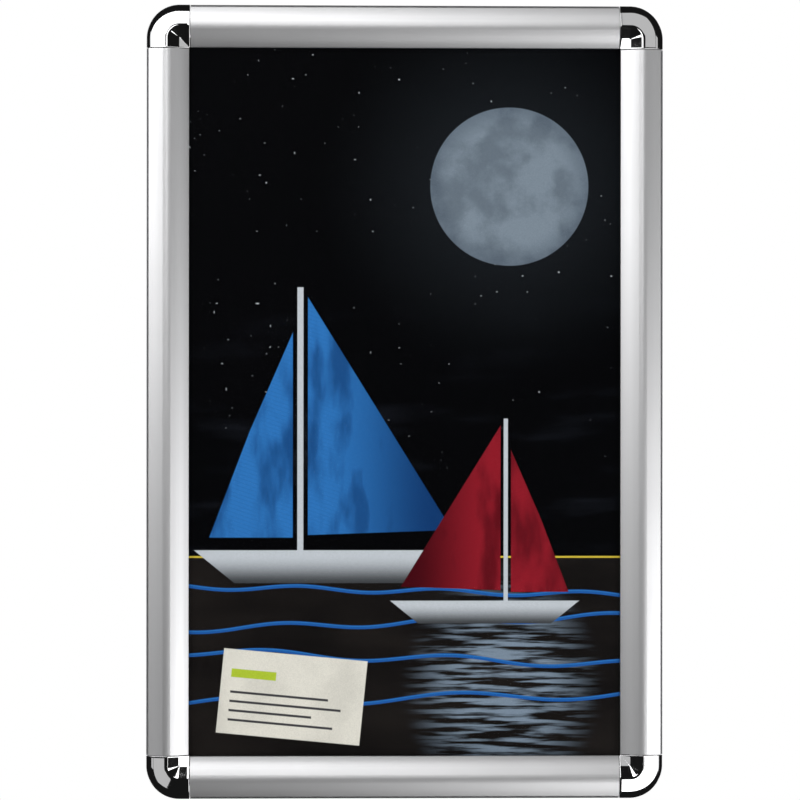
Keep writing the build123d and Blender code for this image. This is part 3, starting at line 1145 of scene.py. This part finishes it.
@dataclass(frozen=True)
class Studio:
    """The pale floor, the soft lights, the cards that the metal reflects, and the camera."""

    lights_away: float = 1.0
    radiance: float = 2.2
    fill: float = 0.47
    floor_drop: float = 1.5
    floor_reach: float = 3.0
    floor_colour: Colour = (0.85, 0.85, 0.85)
    floor_roughness: float = 0.9
    floor_glow: float = 0.6
    card_reach: float = 1.95
    card_height: float = 1.32
    front_gap: float = 0.05
    flag_gap: float = 0.02
    side_start: float = 0.35
    behind: float = 2.0
    dark: float = 0.008
    dim: float = 0.5
    camera_away: float = 2.2
    camera_left: float = 0.05
    camera_turn: float = 0.0287
    camera_roll: float = -0.0008
    camera_range: Pair = (0.05, 50.0)
    picture_width: float = 0.4755
    picture_shift: Pair = (-0.0336, 0.0025)
    sensor: float = 36.0
    lamps: tuple[Panel, ...] = (
        Panel("upper_left_softbox", -1.9, 0.06, 0.07, 1.3),
        Panel("lower_right_softbox", 0.18, 1.9, -1.3, -0.07),
    )
    dim_panels: tuple[Panel, ...] = (
        Panel("upper_right_card", 0.15, 0.98, 0.46, 1.3),
        Panel("middle_right_card", 0.78, 0.98, 0.25, 0.46),
        Panel("far_right_card", 1.05, 1.75, 0.2, 0.46),
        Panel("lower_left_card", -0.98, -0.5, -0.95, -0.46),
        Panel("middle_left_card", -0.98, -0.7, -0.46, -0.27),
        Panel("far_left_card", -1.75, -1.05, -0.46, -0.27),
    )
    dark_panels: tuple[Panel, ...] = (
        Panel("left_flag", -0.68, -0.42, 0.2, 0.42),
        Panel("upper_flag", -0.36, -0.14, 0.03, 0.56),
        Panel("right_flag", 0.42, 0.68, -0.42, -0.2),
        Panel("lower_flag", 0.15, 0.37, -0.56, -0.03),
    )

    def in_front(self, panel: Panel, away: float, level: float) -> Card:
        """A card that fills a panel at a distance in front of the wall."""
        across, up = panel.middle
        return Card(panel.name, (across, -away, up), (0, 1, 0), panel.size, level)

    def cards(self) -> list[Card]:
        """The cards round the frame.

        Returns:
            Dark ones in front, above, below and at the sides, grey ones for the plating's grey
            bands, and small dark flags before the lamps. The sides are dark from the front card on
            at the lower left and the upper right, and elsewhere from a little before the wall.
        """
        across, up = self.card_reach, self.card_height
        front = self.lights_away + self.front_gap
        depth, middle = self.behind + front, (self.behind - front) / 2
        short, short_middle = self.behind + self.side_start, (self.behind - self.side_start) / 2
        to_right, to_left, to_top, to_bottom = (1, 0, 0), (-1, 0, 0), (0, 0, 1), (0, 0, -1)
        sides = (
            ("left_card", (-across, middle, -up / 2), to_right, (depth, up)),
            ("right_card", (across, middle, up / 2), to_left, (depth, up)),
            ("left_back_card", (-across, short_middle, up / 2), to_right, (short, up)),
            ("right_back_card", (across, short_middle, -up / 2), to_left, (short, up)),
            ("top_card", (0, middle, up), to_bottom, (4 * across, depth)),
            ("bottom_card", (0, middle, -up), to_top, (4 * across, depth)),
        )
        whole = Panel("front_card", -across, across, -up, up)
        nearest = self.lights_away - self.flag_gap
        return [
            self.in_front(whole, front, self.dark),
            *(Card(*side, self.dark) for side in sides),
            *(self.in_front(panel, self.lights_away, self.dim) for panel in self.dim_panels),
            *(self.in_front(panel, nearest, self.dark) for panel in self.dark_panels),
        ]

    def put_up(self, card: Card) -> None:
        """Makes a card, which the camera doesn't see and which stops no light.

        Args:
            card: what to make. Its up direction is Z, or Y where it faces up or down.
        """
        facing = Vector(card.facing)
        up = Vector((0, 1, 0)) if facing.z else Vector((0, 0, 1))
        width, height = card.size
        across, upward, middle = up.cross(facing) * width / 2, up * height / 2, Vector(card.middle)
        corners = [tuple(middle + across * x + upward * y) for x, y in SQUARE]
        material = bpy.data.materials.new(card.name)
        material.use_nodes = True
        material.node_tree.nodes.clear()
        graph = Graph(material.node_tree)
        glow = graph.node("ShaderNodeEmission", {"Color": WHITE, "Strength": card.level})
        graph.node("ShaderNodeOutputMaterial", {"Surface": glow.outputs[0]})
        made = add_square(card.name, corners, material)
        for ray in ("camera", "diffuse", "transmission", "shadow"):
            setattr(made, f"visible_{ray}", False)

    def world(self) -> None:
        """White where the camera, metal and clear parts look, and a soft grey fill elsewhere."""
        world = bpy.data.worlds.new("studio_world")
        world.use_nodes = True
        world.node_tree.nodes.clear()
        bpy.context.scene.world = world
        graph = Graph(world.node_tree)
        strength = graph.math("MULTIPLY_ADD", graph.seen(), 1.0 - self.fill, self.fill)
        back = graph.node("ShaderNodeBackground", {"Color": WHITE, "Strength": strength})
        graph.node("ShaderNodeOutputWorld", {"Surface": back.outputs[0]})

    def floor(self) -> None:
        """A pale floor well below the frame, which reads as white and keeps its shadow."""
        reach, level = self.floor_reach, -self.floor_drop
        plain = {"Base_Color": self.floor_colour, "Roughness": self.floor_roughness}
        plain |= {"Specular_IOR_Level": 0.0, "Emission_Color": WHITE}
        material, graph, shader = Finish().start("pale_floor", **plain)
        glow = graph.math("MULTIPLY", graph.seen(), self.floor_glow)
        graph.feed(shader.inputs["Emission Strength"], glow)
        add_square("studio_floor", [(reach * x, reach * y, level) for x, y in SQUARE], material)

    def softbox(self, panel: Panel) -> None:
        """Makes a large lamp in the plane of the lights, facing the wall.

        Args:
            panel: what the lamp fills. Its power is its radiance times its area times pi.
        """
        width, height = panel.size
        across, up = panel.middle
        lamp = bpy.data.lights.new(panel.name, "AREA")
        lamp.shape = "RECTANGLE"
        lamp.size, lamp.size_y = width, height
        lamp.energy = self.radiance * width * height * np.pi
        made = add_object(panel.name, lamp)
        made.location = (across, -self.lights_away, up)
        made.rotation_euler = (np.pi / 2, 0.0, 0.0)
        made.visible_camera = False

    def camera(self) -> None:
        """A little to the left and turned back, with the frame filling the picture."""
        data = bpy.data.cameras.new("camera")
        data.sensor_width = self.sensor
        data.lens = self.sensor * self.camera_away / self.picture_width
        data.shift_x, data.shift_y = self.picture_shift
        data.clip_start, data.clip_end = self.camera_range
        made = add_object("camera", data)
        made.location = (-self.camera_left, -self.camera_away, 0.0)
        made.rotation_euler = (np.pi / 2, self.camera_roll, -self.camera_turn)
        bpy.context.scene.camera = made

    def build(self) -> None:
        """Sets up the whole studio."""
        self.world()
        self.floor()
        for panel in self.lamps:
            self.softbox(panel)
        for card in self.cards():
            self.put_up(card)
        self.camera()
        log.info("studio ready")


def main() -> None:
    """Builds the looks in order and reports each piece."""
    logging.basicConfig(level=logging.INFO, format="%(name)s: %(message)s")
    bpy.context.scene.view_settings.view_transform = "Standard"
    wear = handling_wear()
    Rails().build(wear)
    Insert().build()
    chrome = Chrome().build(wear)
    low, high = CAD_BOX
    half_width = (high.x - low.x) / 2 / MM - CornerCap.proud
    half_height = (high.z - low.z) / 2 / MM - CornerCap.proud
    for corner in Corner:
        CornerCap(corner, half_width, half_height).build(chrome)
        log.info("%s cap made", corner.label)
    Studio().build()


if __name__ == "__main__":
    main()
